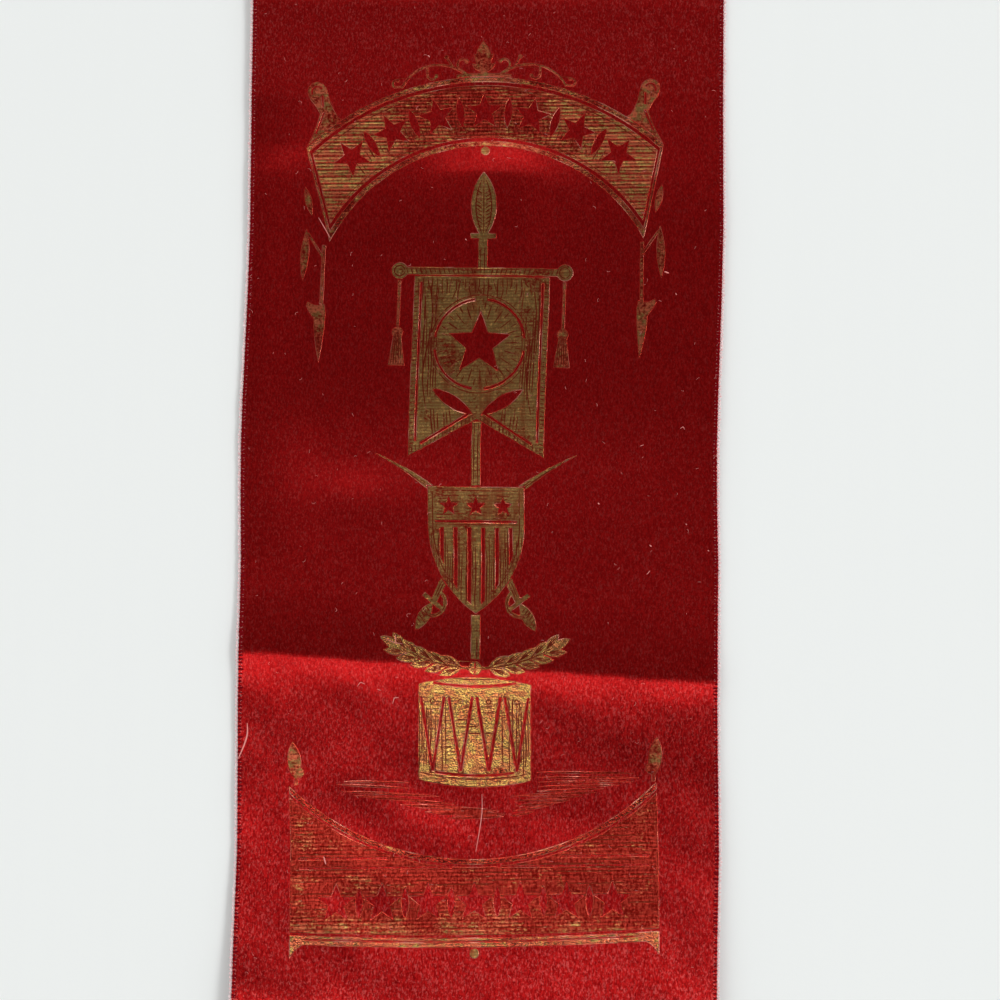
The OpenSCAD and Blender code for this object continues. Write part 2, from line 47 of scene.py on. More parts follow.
# The ribbon. Lengths are in millimetres: x across, y along towards the hem, z up from the table.
silkNodes = ["ribbon_hem", "ribbon_upper", "ribbon_middle", "ribbon_lower", "ribbon_end"]
silkLow = np.min([np.array(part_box(node)[0]) for node in silkNodes], axis=0) / mm
silkHigh = np.max([np.array(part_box(node)[1]) for node in silkNodes], axis=0) / mm
pinLow, pinHigh = [np.array(corner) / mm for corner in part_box("pin")]
ribbon = {
    "half": float(silkHigh[0]) - 0.14,      # the loops of the woven edge reach past this
    "top": float(silkHigh[1]),
    "end": float(silkLow[1]),
    "thick": 0.34,
    "hem": 9.0,
    "lean": math.tan(math.radians(3.0)),    # the crease falls by this much towards the right
    "leanRange": (6.0, -14.0),              # and the silk above it turns into that over this stretch
    "crease": -25.64,
    "creaseReach": 1.2,                     # rows lie closer over this stretch to both sides of it
    "creaseStep": 0.12,
    "rim": 0.03,                            # width of the outermost column
    "columns": 108,
    "rowStep": 0.5,
    "fine": 0.05,                           # step along the ribbon where its height is summed up
    "ripples": 14,
    "rippleHigh": 0.0045,
    "round": 1.5,                           # silk that goes round the pin
    # place, slope at the left and the right edge; above 0 the silk rises towards the cut end
    "slopes": [
        (63.0, -0.030, -0.015), (55.0, 0.000, 0.010), (48.0, 0.020, 0.012), (44.5, 0.035, 0.020),
        (42.2, 0.062, 0.030), (39.6, 0.030, 0.018), (35.0, 0.000, 0.004), (31.0, -0.022, -0.012),
        (25.0, 0.000, 0.000), (17.0, 0.000, 0.002), (10.0, -0.020, -0.010), (6.0, -0.048, -0.030),
        (1.0, -0.070, -0.034), (-3.4, -0.058, -0.022), (-6.5, -0.028, -0.006), (-12.0, -0.015, 0.004),
        (-17.0, 0.000, 0.016), (-20.0, 0.036, 0.040), (-23.0, 0.080, 0.074), (-25.3, 0.100, 0.086),
        (-26.2, -0.080, -0.080), (-27.4, -0.080, -0.074), (-28.8, -0.056, -0.040), (-30.4, -0.030, -0.004),
        (-32.0, -0.016, 0.014), (-35.4, -0.006, 0.036), (-43.0, 0.008, 0.042), (-46.0, 0.007, 0.026),
        (-51.0, 0.025, 0.044), (-56.0, 0.037, 0.052), (-60.0, 0.060, 0.046), (-64.0, 0.078, 0.036),
        (-69.0, 0.090, 0.048), (-73.0, 0.020, 0.010), (-77.0, -0.090, -0.080), (-82.0, -0.170, -0.150),
        (-86.0, -0.130, -0.110), (-89.0, -0.060, -0.050),
    ],
    # the stamped arch has pressed the silk down, which rises again under the arch's inner edge
    "press": {"x": 2.3, "reach": 6.5, "deep": 0.94, "start": -1.7, "along": 5.5, "fade": 14.0,
              "arc": (20.1, 23.6)},
    # x, y, reach and tilt of spots that face the front a little more or less
    "dimples": [(-16.5, -1.5, 3.4, 0.030), (-14.5, 23.5, 4.6, -0.034), (-28.0, 41.5, 2.6, -0.03),
                (-16.0, -42.5, 4.6, -0.022), (-29.5, -38.5, 3.6, -0.022)],
    # place, and how much higher or lower the left and the right edge lie, from edgeWidth inwards
    "edge": [
        (63, -0.10, 0.0), (50, -0.15, 0.0), (41, -0.60, 0.0), (30, -0.75, 0.0), (12, -0.75, 0.06),
        (4, -0.45, 0.18), (-4, 0.0, 0.28), (-12, 0.28, 0.30), (-22, 0.32, 0.24), (-36, 0.26, 0.18),
        (-50, 0.22, 0.02), (-60, 0.18, -0.16), (-70, 0.08, -0.28), (-80, 0.0, -0.28), (-89, 0.0, -0.20),
    ],
    "edgeWidth": 9.0,
    # how far the middle of the silk lies off the y axis
    "drift": [
        (64, -0.14), (50, -0.11), (33, 0.03), (23, -0.13), (10, -0.50), (3, -0.61), (-4, -0.51),
        (-12, -0.29), (-30, -0.30), (-43, -0.08), (-50, 0.02), (-63, -0.16), (-89, -0.2),
    ],
}


def heightRows():
    s = ribbon
    table = np.array(s["slopes"])[::-1]
    first, step = s["slopes"][0][0], s["fine"]
    place = np.arange(first, s["end"] - 0.04, -step)
    sides = []
    for side in (1, 2):
        slope = np.interp(place, table[:, 0], table[:, side])
        rise = np.concatenate([[0], np.cumsum((slope[1:] + slope[:-1]) / 2 * step)])
        rise -= rise[(place < 40) & (place > -60)].min() - 0.02
        sides.append(np.maximum(rise, 0.02))
    start = np.arange(s["top"] - s["hem"] + 1, first, -step)
    share = (start[0] - start) / (start[0] - first)
    ease = 3 * share**2 - 2 * share**3
    hemLift = s["thick"] + 0.02
    sides = [np.concatenate([hemLift + (side[0] - hemLift) * ease, side]) for side in sides]
    return np.concatenate([start, place])[::-1], sides[0][::-1], sides[1][::-1]


heightPlaces, heightLeft, heightRight = heightRows()
ripples = [(dice.uniform(0.35, 1.1), dice.uniform(0, math.tau), dice.uniform(0, math.tau))
           for _ in range(ribbon["ripples"])]


def turnedPlace(x, y):
    # the place along the middle of the silk whose turned cross line runs through x, y
    s = ribbon
    start, full = s["leanRange"]
    place = y
    for _ in range(4):
        place = y + s["lean"] * x * np.clip((start - place) / (start - full), 0, 1)
    near = np.exp(-((place - s["crease"]) / 6) ** 2)
    return place + near * (0.10 * np.sin(0.31 * x + 0.6) + 0.05 * np.sin(0.83 * x + 2.0))


def pressed(x, y):
    s = ribbon["press"]
    middle, radius = s["arc"]
    near = np.clip(x, -radius * 0.9, radius * 0.9)
    below = middle + np.sqrt(radius**2 - near**2) + x * leaf["lean"] - y - s["start"]
    share = np.clip(below / s["along"], 0, 1)
    rise = (3 * share**2 - 2 * share**3) / (1 + (np.maximum(below - s["along"], 0) / s["fade"]) ** 2)
    high = s["deep"] * np.exp(-((x - s["x"]) / s["reach"]) ** 2) * rise
    for centreX, centreY, reach, tilt in ribbon["dimples"]:
        away = ((x - centreX) / (1.4 * reach)) ** 2 + ((y - centreY) / reach) ** 2
        high = high + tilt * (y - centreY) * np.exp(-away)
    return high


def underside(x, y):
    x, y = np.broadcast_arrays(np.asarray(x, float), np.asarray(y, float))
    place = turnedPlace(x, y)
    left = np.interp(place, heightPlaces, heightLeft)
    right = np.interp(place, heightPlaces, heightRight)
    lift = left + (right - left) * (x / ribbon["half"] + 1) / 2
    table = np.array(ribbon["edge"])[::-1]
    for side, way in ((1, -1), (2, 1)):
        outer = np.clip((way * x - ribbon["half"]) / ribbon["edgeWidth"] + 1, 0, 1)
        lift = lift + np.interp(y, table[:, 0], table[:, side]) * outer**2 * (3 - 2 * outer)
    calm = 0.18 + 0.82 * np.clip((ribbon["crease"] - place) / 4, 0, 1)
    calm *= np.clip((ribbon["top"] - ribbon["hem"] - 2 - y) / 6, 0, 1)
    uneven = 0
    for wave, way, phase in ripples:
        uneven = uneven + np.sin(wave * (x * math.cos(way) + y * math.sin(way)) + phase) / wave
    return np.maximum(lift + pressed(x, y) + ribbon["rippleHigh"] * calm * uneven, 0.01)


def silkTop(x, y):
    return underside(x, y) + ribbon["thick"]


def sideways(y):
    table = np.array(ribbon["drift"])[::-1]
    return np.interp(y, table[:, 0], table[:, 1])


def makePiece(name, points, faces, material, slot, smooth=True):
    mesh = bpy.data.meshes.new(name)
    mesh.from_pydata([tuple(p) for p in (np.asarray(points, float) * mm)], [], faces)
    mesh.polygons.foreach_set("use_smooth", [smooth] * len(mesh.polygons))
    mesh.materials.append(material)
    mesh.update()
    piece = bpy.data.objects.new(name, mesh)
    bpy.context.scene.collection.objects.link(piece)
    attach(piece, "root")
    return piece


def gather(parts):
    points, faces = [], []
    for some, shapes in parts:
        base = len(points)
        points.extend(some)
        faces.extend(tuple(i + base for i in shape) for shape in shapes)
    return points, faces


class Socket:  # a shader value that Python's own signs work on

    def __init__(self, look, link):
        self.look = look
        self.link = link

    def join(self, operation, first, second=None):
        inputs = {0: first} if second is None else {0: first, 1: second}
        return self.look.add("ShaderNodeMath", {"operation": operation}, inputs)

    def __add__(self, other):
        return self.join("ADD", self, other)

    def __radd__(self, other):
        return self.join("ADD", other, self)

    def __sub__(self, other):
        return self.join("SUBTRACT", self, other)

    def __rsub__(self, other):
        return self.join("SUBTRACT", other, self)

    def __mul__(self, other):
        return self.join("MULTIPLY", self, other)

    def __rmul__(self, other):
        return self.join("MULTIPLY", other, self)

    def __abs__(self):
        return self.join("ABSOLUTE", self)

    def sine(self):
        return self.join("SINE", self)


class Look:  # a material or a world under construction

    def __init__(self, name, holder=None):
        self.holder = holder or bpy.data.materials.new(name)
        self.holder.use_nodes = True
        self.tree = self.holder.node_tree
        self.shader = self.tree.nodes["Background" if holder else "Principled BSDF"]

    def plug(self, target, value):
        if isinstance(value, Socket):
            self.tree.links.new(value.link, target)
        elif value is not None:
            target.default_value = value

    def add(self, kind, settings=None, inputs=None, output=0):
        node = self.tree.nodes.new(kind)
        for name, value in (settings or {}).items():
            setattr(node, name, value)
        for name, value in (inputs or {}).items():
            self.plug(node.inputs[name], value)
        return Socket(self, node.outputs[output])

    def spot(self, scale=(1, 1, 1)):  # the piece's own millimetres, stretched by scale
        here = self.add("ShaderNodeTexCoord", output=3)
        return self.add("ShaderNodeVectorMath", {"operation": "MULTIPLY"},
                        {0: here, 1: [s / mm for s in scale]})

    def axis(self, number, scale=1.0):
        return self.add("ShaderNodeSeparateXYZ", {}, {0: self.spot([scale] * 3)}, output=number)

    def noise(self, scale, detail=2.0, rough=0.5, warp=0.0):
        return self.add("ShaderNodeTexNoise", {"noise_dimensions": "3D"}, {
            "Vector": self.spot(scale), "Scale": 1.0, "Detail": detail,
            "Roughness": rough, "Distortion": warp,
        })

    def ramp(self, value, low, high):  # 0 below low, 1 above high, smooth between
        return self.add("ShaderNodeMapRange", {"interpolation_type": "SMOOTHSTEP", "clamp": True},
                        {"Value": value, "From Min": low, "From Max": high})

    def blend(self, share, first, second):
        settings = {"data_type": "RGBA", "clamp_factor": True}
        return self.add("ShaderNodeMix", settings, {0: share, 6: first, 7: second}, output=2)

    def bump(self, height, depth, strength=1.0):  # depth in millimetres for heights 0 to 1
        return self.add("ShaderNodeBump", {},
                        {"Height": height, "Distance": depth * mm, "Strength": strength})

    def wear(self, **values):  # sets the shader's sockets, named with their spaces left out
        names = {socket.name.replace(" ", ""): socket for socket in self.shader.inputs}
        for name, value in values.items():
            self.plug(names[name], value)
        return self.holder


silk = {
    "deep": (0.39, 0.005, 0.006, 1),
    "bright": (0.65, 0.013, 0.013, 1),
    "gap": (0.20, 0.002, 0.003, 1),
    "fuzz": (0.84, 0.115, 0.105, 1),
    "grazing": (0.70, 0.20, 0.19, 1),       # tint of what it mirrors when seen flat along the silk
    "hazy": [(14, 2, 0.08), (-48, -64, 0.15), (44, 58, 0.26)],  # stretches where the pale fibre colour is laid on more thickly, as a painted sheen
    "metallic": 0.93,
    "roughness": 0.285,
}


def silkLook(name):
    # satin: hair-fine floats along the ribbon with a soft red sheen, and pale fibre ends, laid on more
    # thickly in some stretches as a painted sheen
    s = silk
    look = Look(name)
    hair = look.noise((4.3, 1.7, 4.0), detail=2, rough=0.7, warp=0.3)
    grain = look.noise((4.4, 3.4, 4.0), detail=1)
    cloud = look.noise((0.8, 0.5, 0.5), detail=4, rough=0.65)
    place = look.axis(1)
    woolly = look.ramp(place, -22, -36)
    tone = look.ramp(hair * 0.50 + grain * 0.34 + cloud * 0.16, 0.40, 0.60)
    colour = look.blend(tone * (0.70 + woolly * 0.30) + (1 - woolly) * 0.15, s["deep"], s["bright"])
    colour = look.blend(look.ramp(hair, 0.50, 0.36) * (0.05 + woolly * 0.42), colour, s["gap"])
    fuzz = look.ramp(look.noise((4.0, 2.0, 4.0), detail=2, rough=0.6, warp=0.8), 0.50, 0.68)
    # share of the pale fibre colour: fibre ends, more of them towards the cut end, plus a painted sheen in
    # the listed stretches
    fuzzAndSheen = 0.16 + woolly * 0.28
    for start, full, more in s["hazy"]:
        fuzzAndSheen = fuzzAndSheen + look.ramp(place, start, full) * more
    colour = look.blend(fuzz * fuzzAndSheen, colour, s["fuzz"])
    return look.wear(BaseColor=colour, Metallic=s["metallic"], Roughness=s["roughness"],
                     SpecularIORLevel=0.3, SpecularTint=s["grazing"], CoatWeight=0.05, CoatRoughness=0.2,
                     Normal=look.bump(hair * 0.5 + grain * 0.5, 0.020))


def ribbonPath():
    # side view of the folded hem: place in y and z, with the way that the printed side faces
    s = ribbon
    half = s["thick"] / 2
    foot = s["top"] - s["hem"]
    pinY, pinZ = (pinLow[1] + pinHigh[1]) / 2, (pinLow[2] + pinHigh[2]) / 2
    snug = 0.40 + half + 0.02
    low = [(y, half + 0.01) for y in np.arange(foot, pinY - 2.0, 0.6)]
    rise = [(pinY - 1.5, half + 0.05), (pinY - 0.9, half + 0.20), (pinY - 0.3, half + 0.44)]
    bend = [
        (pinY + snug * math.cos(a), pinZ + snug * math.sin(a))
        for a in np.radians(np.arange(-60, 106, 13))
    ]
    back = [(pinY - 0.75, pinZ + 0.55), (pinY - 1.5, pinZ + 0.18), (pinY - 2.4, pinZ - 0.26),
            (pinY - 3.4, pinZ - 0.60), (pinY - 4.4, s["thick"] * 1.5 + 0.05)]
    lay = [(y, s["thick"] * 1.5 + 0.02) for y in np.arange(pinY - 5.1, foot + 0.8, -0.6)]
    line = np.array(low + rise + bend + back + lay)
    run = np.gradient(line, axis=0)
    run /= np.linalg.norm(run, axis=1)[:, None]
    return line, np.stack([run[:, 1], -run[:, 0]], axis=1)


def makeRibbon(material):
    s = ribbon
    half = s["thick"] / 2
    across = np.linspace(-s["half"], s["half"], s["columns"])
    across = np.sort(np.append(across, [s["rim"] - s["half"], s["half"] - s["rim"]]))
    hemLine, hemOut = ribbonPath()
    ups, downs = [], []
    for (y, z), (outY, outZ) in zip(hemLine, hemOut):
        for bunch, sign in ((ups, 1), (downs, -1)):
            bunch.append(np.stack([
                across + sideways(y), np.full(len(across), y + sign * half * outY),
                np.full(len(across), z + sign * half * outZ),
            ], axis=1))
    rest = np.arange(s["top"] - s["hem"] - 0.1, s["end"] + 0.3, -s["rowStep"])
    reach = s["creaseReach"]
    close = s["crease"] + np.arange(-reach, reach + 0.01, s["creaseStep"])
    rest = np.concatenate([rest[np.abs(rest - s["crease"]) > reach + 0.1], close, [s["end"]]])
    start, full = s["leanRange"]
    for place in np.sort(rest)[::-1]:
        lean = np.clip((start - place) / (start - full), 0, 1) * np.clip((place - s["end"]) / 12, 0, 1)
        y = place - s["lean"] * across * lean
        lift = underside(across, y)
        for bunch, high in ((ups, s["thick"]), (downs, 0)):
            bunch.append(np.stack([across + sideways(y), y, lift + high], axis=1))
    rows, columns = len(ups), len(across)
    points = np.concatenate([np.concatenate(ups), np.concatenate(downs)])
    faces = []
    shift = rows * columns
    for r in range(rows - 1):
        for c in range(columns - 1):
            a = r * columns + c
            faces.append((a, a + columns, a + columns + 1, a + 1))
            faces.append((shift + a, shift + a + 1, shift + a + columns + 1, shift + a + columns))
    for r in range(rows - 1):
        a, b = r * columns, r * columns + columns - 1
        faces.append((a, shift + a, shift + a + columns, a + columns))
        faces.append((b, b + columns, shift + b + columns, shift + b))
    for c in range(columns - 1):
        a, b = c, (rows - 1) * columns + c
        faces.append((a, a + 1, shift + a + 1, shift + a))
        faces.append((b, shift + b, shift + b + 1, b + 1))
    return makePiece("silk_ribbon", points, faces, material, "silk")


# Gold leaf. The outlines of each leaf node are read from the imported model, and ruled in fine rows.
leaf = {
    "lift": 0.02,
    "lean": math.tan(math.radians(1.5)),    # the stamp's rows run up towards the right
    "spacing": 0.6,
    "gold": (0.94, 0.53, 0.16, 1),
    "olive": (0.41, 0.245, 0.080, 1),
    "orange": (0.90, 0.205, 0.10, 1),
    "bare": (0.58, 0.045, 0.028, 1),
    "deep": (0.28, 0.010, 0.006, 1),
    # pale pink laid on the welts in patches: a painted sheen
    "pink": (0.92, 0.42, 0.30, 1),
    "grazing": (0.85, 0.40, 0.22, 1),
}
leafStyles = {
    # wear: share rubbed off; more: how much leaf is left besides, away from the middle (axis 0) or
    # towards the cut end (axis 1), between two places; drag: how streaky it is; fold: how much is
    # worn along upright folds; hatch: contrast of the ruled rows, which lie pitch apart and rib
    # high; grain: glitter; shine and warm: shares of bright gold and of orange; dark: shade of the
    # bare silk
    "dense": {"wear": 0.29, "drag": 0.12, "fold": 0.48, "hatch": 0.32, "pitch": 0.41, "rib": 0.003,
              "grain": 0.060, "shine": 0.36, "warm": 0.04, "dark": 0.7},
    "arch": {"wear": 0.67, "more": (0, 0, 24, 0.20), "drag": 0.30, "hatch": 0.90, "pitch": 0.47,
             "rib": 0.014, "grain": 0.024, "shine": 0.64, "warm": 0.90},
    "line": {"wear": 0.50, "drag": 0.20, "hatch": 0.10, "pitch": 0.41, "rib": 0.004, "grain": 0.070,
             "shine": 0.70, "warm": 1.60, "rough": 0.24},
    "bronze": {"wear": 0.48, "drag": 0.10, "hatch": 0.15, "pitch": 0.41, "rib": 0.004, "grain": 0.050,
               "shine": 0.22, "warm": 1.20},
    "tablet": {"wear": 0.76, "more": (1, 56, 62, 0.12), "drag": 0.14, "hatch": 0.70, "pitch": 0.51,
               "rib": 0.006, "grain": 0.045, "shine": 0.35, "warm": 0.90},
    "strip": {"wear": 0.70, "more": (1, 52, 61, 0.14), "drag": 0.20, "hatch": 0.10, "pitch": 0.51,
              "rib": 0.004, "grain": 0.090, "shine": 0.60, "warm": 2.0, "dark": -0.3, "rough": 0.24},
    # for the drum and the laurels, which lie in the lit stretch below the crease: less wear, and a larger
    # share of bright gold that is partly a painted highlight
    "glitter": {"wear": 0.22, "drag": 0.12, "hatch": 0.15, "pitch": 0.51, "rib": 0.004, "grain": 0.110,
                "shine": 1.3, "warm": 0.60, "rough": 0.22},
    "scratch": {"wear": 0.98, "drag": 0.20, "hatch": 0.10, "pitch": 0.51, "rib": 0.010, "grain": 0.030,
                "shine": 0.30, "warm": 0.90},
}
leafNodes = {
    "arch_border": "line", "arch_field": "arch", "arch_crest": "bronze", "arch_drop": "dense",
    "finial_left": "bronze", "finial_right": "bronze", "husks_left": "bronze", "husks_right": "bronze",
    "staff": "dense", "banner": "dense", "tassel_left": "bronze", "tassel_right": "bronze",
    "shield": "dense", "sabre_left": "dense", "sabre_right": "dense",
    "laurel_left": "glitter", "laurel_right": "glitter", "drum": "glitter", "ground": "scratch",
    "tablet_border": "strip", "tablet_field": "tablet",
    "tablet_bud_left": "bronze", "tablet_bud_right": "bronze", "tablet_drop": "dense",
}

leafRims = {"bronze": "faint", "tablet": "faint", "scratch": "ridge"}


def leafEdges(node):
    # outline of a leaf node from above: points, and edges with the leaf on their left
    mesh = node.data
    mesh.calc_loop_triangles()
    points = np.array([v.co for v in mesh.vertices]) / mm
    _, first, same = np.unique(np.round(points, 3), axis=0, return_index=True, return_inverse=True)
    same = same.reshape(-1)
    points = points[first]
    triangles = same[np.array([t.vertices[:] for t in mesh.loop_triangles])]
    a, b, c = (points[triangles[:, i]] for i in range(3))
    normal = np.cross(b - a, c - a)
    normal /= np.linalg.norm(normal, axis=1)[:, None] + 1e-12
    used = {}
    for triangle in triangles[normal[:, 2] > 0.5]:
        for i in range(3):
            edge = (triangle[i], triangle[(i + 1) % 3])
            if (edge[1], edge[0]) in used:
                del used[(edge[1], edge[0])]
            else:
                used[edge] = True
    return points[:, :2], list(used)


def leafLoops(points, edges):
    follow = {}
    for a, b in edges:
        follow.setdefault(a, []).append(b)
    loops = []
    while follow:
        start = next(iter(follow))
        loop, here = [start], start
        while True:
            ahead = follow[here].pop()
            if not follow[here]:
                del follow[here]
            if ahead == start or ahead not in follow:
                break
            loop.append(ahead)
            here = ahead
        if len(loop) > 2:
            loops.append(points[loop])
    return loops


def crossings(ends, y):
    low, high = ends[:, 0], ends[:, 1]
    hit = (low[:, 1] <= y) != (high[:, 1] <= y)
    a, b = low[hit], high[hit]
    return np.sort(a[:, 0] + (y - a[:, 1]) / (b[:, 1] - a[:, 1]) * (b[:, 0] - a[:, 0]))


def ruledLeaf(points, edges, pitch, rib):
    # thin rows of leaf inside an outline, with a rib every pitch
    s = leaf
    level = points.copy()
    level[:, 1] -= s["lean"] * level[:, 0]
    ends = level[np.array(edges)]
    low, high = ends[..., 1].min(), ends[..., 1].max()
    step = pitch / 5
    made, faces = [], []
    for row in np.arange(math.floor(low / step), math.ceil(high / step)):
        y0, y1 = max(row * step, low + 1e-4), min((row + 1) * step, high - 1e-4)
        if y1 - y0 < 0.004:
            continue
        first, second = crossings(ends, y0), crossings(ends, y1)
        if len(first) != len(second):
            first = second = crossings(ends, (y0 + y1) / 2)
        for i in range(0, len(first) - 1, 2):
            widest = max(first[i + 1] - first[i], second[i + 1] - second[i])
            cuts = max(1, int(math.ceil(widest / s["spacing"])))
            share = np.linspace(0, 1, cuts + 1)
            base = len(made)
            for along, a, b in ((y0, first[i], first[i + 1]), (y1, second[i], second[i + 1])):
                x = a + (b - a) * share
                y = along + s["lean"] * x
                uneven = 1 + 0.5 * math.sin(7.3 * round(along / pitch)) + 0.4 * np.sin(0.9 * x + along)
                z = silkTop(x, y) + s["lift"] + rib * uneven * math.sin(math.pi * along / pitch) ** 2
                made.extend(zip(x + sideways(y), y, z))
            for k in range(cuts):
                a, b = base + k, base + cuts + 1 + k
                faces.append((a, a + 1, b + 1, b))
    return made, faces


def strip(line, closed, profile, step=0.3):
    # a narrow band along a line: profile lists the distance to its left and the height over the silk
    line = np.asarray(line, float)
    if closed:
        line = np.vstack([line, line[:1]])
    line = line[np.append(True, np.linalg.norm(np.diff(line, axis=0), axis=1) > 1e-6)]
    total = np.concatenate([[0], np.cumsum(np.linalg.norm(np.diff(line, axis=0), axis=1))])
    if total[-1] < 0.05:
        return [], []
    wanted = np.linspace(0, total[-1], max(3, int(total[-1] / step) + 1))
    ways = np.diff(line, axis=0)
    ways /= np.linalg.norm(ways, axis=1)[:, None]
    bends = [total[i + 1] for i in range(len(ways) - 1) if ways[i] @ ways[i + 1] < 0.9]
    spots = np.unique(np.round(np.concatenate([wanted, bends]), 4))
    x = np.interp(spots, total, line[:, 0])
    y = np.interp(spots, total, line[:, 1])
    way = np.gradient(np.stack([x, y], axis=1), axis=0)
    if closed:
        way[0] = way[-1] = [x[1] - x[-2], y[1] - y[-2]]
    way /= np.linalg.norm(way, axis=1)[:, None] + 1e-9
    share = spots / spots[-1]
    made = []
    for reach, high in profile:
        far = reach(share) if callable(reach) else reach
        px, py = x - way[:, 1] * far, y + way[:, 0] * far
        over = high(px, py) if callable(high) else high
        made.append(np.stack([px + sideways(py), py, silkTop(px, py) + over], axis=1))
    count = len(x)
    faces = []
    for band in range(len(profile) - 1):
        for i in range(count - 1):
            a, b = band * count + i, (band + 1) * count + i
            faces.append((a, a + 1, b + 1, b))
    return [tuple(p) for p in np.concatenate(made)], faces


def leafLook(name, wear, drag, hatch, pitch, grain, shine, warm, more=None, fold=0.0, dark=0.0,
             rough=0.29):
    # leaf rubbed off the silk: gold, olive, orange and bare red by place
    s = leaf
    look = Look(name)
    patch = look.noise((0.24, 0.30, 0.2), detail=4, rough=0.68)
    speck = look.noise((2.9, 3.4, 3.0), detail=2, rough=0.7)
    streak = look.noise((0.7, 4.0, 3.0), detail=2)
    weave = look.noise((4.0, 1.3, 3.0), detail=1)
    level = (look.axis(1) - look.axis(0) * s["lean"]) * (math.tau / pitch)
    rows = (level + streak * 2.4).sine() * 0.6 + (level * 0.5 + patch * 6.0).sine() * 0.4
    stay = patch * 0.50 + speck * (0.50 - drag) + streak * drag
    if more:
        along, start, full, gain = more
        stay = stay + look.ramp(abs(look.axis(along)), start, full) * gain
    low = 0.26 + wear * 0.36
    kept = look.ramp(stay, low, low + 0.14)
    kept = kept * (1 - hatch * look.ramp(rows + speck * 0.8, 0.75, 0.05))
    if fold:
        creased = look.noise((0.62, 0.11, 0.3), detail=3, rough=0.6)
        kept = kept * (1 - fold * look.ramp(creased * 0.8 + speck * 0.2, 0.53, 0.62))
    tone = speck * 0.4 + streak * 0.2 + patch * 0.2 + weave * 0.2 + rows * (0.07 * hatch)
    gold = look.blend(look.ramp(tone, 0.58 - shine * 0.25, 0.76 - shine * 0.25), s["olive"], s["gold"])
    spots = look.ramp(look.noise((0.9, 1.1, 1.0), detail=3), 0.46 - warm * 0.06, 0.62 - warm * 0.06)
    gold = look.blend(spots * min(warm, 1), gold, s["orange"])
    bare = look.blend(look.ramp(weave * 0.5 + speck * 0.5, 0.40, 0.58) * (1 - dark), s["deep"], s["bare"])
    colour = look.blend(kept, bare, gold)
    return look.wear(BaseColor=colour, Metallic=0.95, Roughness=rough, SpecularIORLevel=0.3,
                     SpecularTint=s["grazing"],
                     Normal=look.bump(speck * 0.6 + weave * 0.4, grain))


def rimLook(name, bright, tint):
    # the silk's welt along the stamp's edge: dark, and golden in places, with pale pink patches that are a
    # painted sheen
    s = leaf
    look = Look(name)
    fleck = look.ramp(look.noise((1.8, 1.8, 2.0), detail=3, rough=0.6), 0.50, 0.64)
    patch = look.ramp(look.noise((0.3, 0.3, 0.2), detail=2), 0.50, 0.66)
    # bright is the share of the painted pink sheen
    colour = look.blend(patch * bright, s["bare"], s["pink"])
    colour = look.blend(fleck * bright, colour, tint)
    return look.wear(BaseColor=colour, Metallic=0.92, Roughness=0.24, SpecularIORLevel=0.3,
                     SpecularTint=s["grazing"],
                     Normal=look.bump(fleck, 0.008))


def patchy(x, y, size, turn):  # a smooth value between -1 and 1 that wanders with the place
    x, y = np.asarray(x, float) / size, np.asarray(y, float) / size
    return (np.sin(x * 1.3 + 2.1 * turn + 1.7 * np.sin(y * 0.7 + turn))
            + np.sin(y * 1.1 - 1.3 * turn + 1.5 * np.sin(x * 0.6 + 4 * turn))) / 2


def makeLeaf():
    s = leaf
    looks = {key: leafLook("leaf_" + key, **{k: v for k, v in style.items() if k != "rib"})
             for key, style in leafStyles.items()}
    # the number given to each welt is its share of painted pink sheen
    rims = {"pale": rimLook("rim_pale", 0.7, s["olive"]), "faint": rimLook("rim_faint", 0.25, s["olive"]),
            "ridge": rimLook("rim_ridge", 0.5, s["bare"])}

    def crown(x, y):
        return s["lift"] + 0.004 + 0.018 * np.clip(patchy(x, y, 2.6, 1.0) + 0.1, 0, 1)

    profile = [(-0.03, -0.01), (-0.025, crown), (0.0, crown), (0.09, s["lift"] + 0.002)]
    for node, key in leafNodes.items():
        style = leafStyles[key]
        points, edges = leafEdges(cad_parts[node])
        slot = "leaf_gold" if key in ("dense", "arch") else "worn_gold"
        face = makePiece("leaf_" + node, *ruledLeaf(points, edges, style["pitch"], style["rib"]),
                         looks[key], slot, smooth=False)
        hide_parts(node)
        welts = [strip(loop, True, profile) for loop in leafLoops(points, edges)]
        makePiece("rim_" + node, *gather(welts), rims[leafRims.get(key, "pale")], slot)


selvedge = {
    "pitch": 0.49, "reach": 0.38, "thick": 0.105, "sides": 5, "bends": 6,
    "wide": 0.36,                           # half a loop's width, as a share of the pitch
    "root": 0.04,                           # how far inside the silk's edge a loop starts
    "hair": (0.3, 0.9), "hairThick": 0.026, "hairRoot": 0.45,
    "tick": (0.60, -0.03), "tickThick": 0.21, "tickDeep": 0.12, "tickShift": 0.24,
    "dark": (0.17, 0.004, 0.007, 1),
    "fringe": (0.93, 0.76, 0.76, 1),
    "pale": (0.90, 0.56, 0.56, 1),
    "stray": (0.68, 0.26, 0.25, 1),
}


